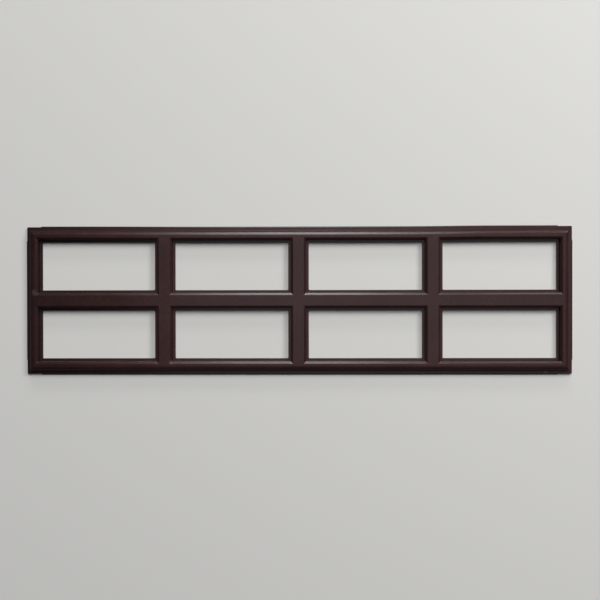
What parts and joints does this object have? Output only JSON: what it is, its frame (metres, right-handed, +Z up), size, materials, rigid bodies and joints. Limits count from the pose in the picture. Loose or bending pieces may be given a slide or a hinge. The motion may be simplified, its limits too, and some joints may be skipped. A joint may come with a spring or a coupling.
{
  "type": "garage door window insert",
  "caption": "Snap-in window insert for a garage door: a moulded grid of long panes in dark brown plastic.",
  "frame": {"origin": "middle of the plane of the flat back, which lies on the window, at the crossing of the middle mullion and the middle rail", "axes": "+X along the insert's width, +Z up its height, and the moulded front faces -Y"},
  "size_m": [1.003, 0.015, 0.273],
  "materials": {
    "brown_plastic": "satin"
  },
  "bodies": {
    "root": {"window_insert": "brown_plastic"}
  },
  "joints": []
}
